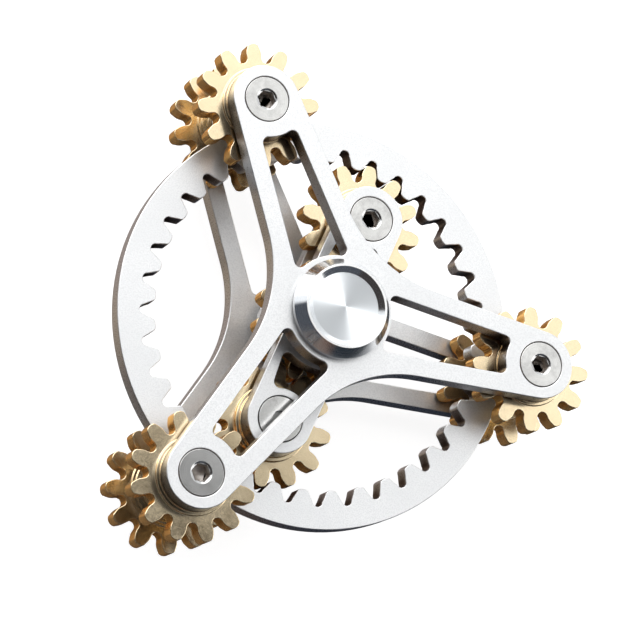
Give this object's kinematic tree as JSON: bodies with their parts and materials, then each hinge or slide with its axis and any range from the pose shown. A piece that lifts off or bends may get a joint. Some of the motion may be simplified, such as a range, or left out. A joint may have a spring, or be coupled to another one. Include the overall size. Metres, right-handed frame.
{
  "type": "planetary gear set",
  "caption": "Hand-spun planetary gear set: knobs and a fixed sun on an axle, a two-arm planet carrier, an internal ring, and a three-arm frame with free gears at its tips.",
  "frame": {"origin": "middle of the axle, in the middle plane of the ring; the set's centroid", "axes": "+Z along the axle, from the rear knob to the front knob; +X along the first arm of the outer frame"},
  "size_m": [0.0635, 0.0658, 0.0236],
  "materials": {
    "bead_blasted_aluminium": "fine bead-blasted satin",
    "turned_aluminium": "turned, with a radial sheen in the recess",
    "brass": "milled, softly polished faces",
    "turned_steel": "turned satin",
    "bearing_steel": "polished"
  },
  "bodies": {
    "core": {"front_knob": "turned_aluminium", "rear_knob": "turned_aluminium", "centre_axle": "turned_steel", "sun_gear": "brass", "front_frame_spacer": "turned_steel", "rear_frame_spacer": "turned_steel", "front_sun_spacer": "turned_steel", "rear_sun_spacer": "turned_steel", "front_frame_bearing_inner": "bearing_steel", "rear_frame_bearing_inner": "bearing_steel", "front_carrier_bearing_inner": "bearing_steel", "rear_carrier_bearing_inner": "bearing_steel", "front_frame_bearing_balls": "bearing_steel", "rear_frame_bearing_balls": "bearing_steel", "front_carrier_bearing_balls": "bearing_steel", "rear_carrier_bearing_balls": "bearing_steel"},
    "outer_frame": {"front_plate": "bead_blasted_aluminium", "rear_plate": "bead_blasted_aluminium", "front_frame_bearing_outer": "bearing_steel", "rear_frame_bearing_outer": "bearing_steel", "front_tip_screws": "turned_steel", "rear_tip_screws": "turned_steel", "ring_pillar_a": "turned_steel", "ring_pillar_b": "turned_steel", "ring_pillar_c": "turned_steel"},
    "carrier": {"front_carrier_plate": "bead_blasted_aluminium", "rear_carrier_plate": "bead_blasted_aluminium", "front_carrier_bearing_outer": "bearing_steel", "rear_carrier_bearing_outer": "bearing_steel", "planet_screws": "turned_steel", "planet_sleeve_a": "turned_steel", "planet_sleeve_b": "turned_steel"},
    "ring": {"ring_gear": "bead_blasted_aluminium"},
    "planet_a": {"planet_gear_a": "brass"},
    "planet_b": {"planet_gear_b": "brass"},
    "front_tip_a": {"front_tip_gear_a": "brass"},
    "front_tip_b": {"front_tip_gear_b": "brass"},
    "front_tip_c": {"front_tip_gear_c": "brass"},
    "rear_tip_a": {"rear_tip_gear_a": "brass"},
    "rear_tip_b": {"rear_tip_gear_b": "brass"},
    "rear_tip_c": {"rear_tip_gear_c": "brass"}
  },
  "joints": [
    {"name": "frame_spin", "type": "hinge", "parent": "core", "child": "outer_frame", "pos_m": [0, 0, 0], "axis": [0, 0, 1], "continuous": true},
    {"name": "carrier_spin", "type": "hinge", "parent": "core", "child": "carrier", "pos_m": [0, 0, 0], "axis": [0, 0, 1], "continuous": true},
    {"name": "ring_spin", "type": "hinge", "parent": "core", "child": "ring", "pos_m": [0, 0, 0], "axis": [0, 0, 1], "continuous": true},
    {"name": "planet_a_spin", "type": "hinge", "parent": "carrier", "child": "planet_a", "pos_m": [0.00388, 0.01449, 0], "axis": [0, 0, 1], "continuous": true},
    {"name": "planet_b_spin", "type": "hinge", "parent": "carrier", "child": "planet_b", "pos_m": [-0.00388, -0.01449, 0], "axis": [0, 0, 1], "continuous": true},
    {"name": "front_tip_a_spin", "type": "hinge", "parent": "outer_frame", "child": "front_tip_a", "pos_m": [0.0285, 0, 0], "axis": [0, 0, 1], "continuous": true},
    {"name": "front_tip_b_spin", "type": "hinge", "parent": "outer_frame", "child": "front_tip_b", "pos_m": [-0.01425, 0.02468, 0], "axis": [0, 0, 1], "continuous": true},
    {"name": "front_tip_c_spin", "type": "hinge", "parent": "outer_frame", "child": "front_tip_c", "pos_m": [-0.01425, -0.02468, 0], "axis": [0, 0, 1], "continuous": true},
    {"name": "rear_tip_a_spin", "type": "hinge", "parent": "outer_frame", "child": "rear_tip_a", "pos_m": [0.0285, 0, 0], "axis": [0, 0, 1], "continuous": true},
    {"name": "rear_tip_b_spin", "type": "hinge", "parent": "outer_frame", "child": "rear_tip_b", "pos_m": [-0.01425, 0.02468, 0], "axis": [0, 0, 1], "continuous": true},
    {"name": "rear_tip_c_spin", "type": "hinge", "parent": "outer_frame", "child": "rear_tip_c", "pos_m": [-0.01425, -0.02468, 0], "axis": [0, 0, 1], "continuous": true}
  ],
  "couplings": [
    {"joint": "ring_spin", "follows": "carrier_spin", "ratio": 1.3333},
    {"joint": "planet_a_spin", "follows": "carrier_spin", "ratio": 1},
    {"joint": "planet_b_spin", "follows": "carrier_spin", "ratio": 1}
  ]
}
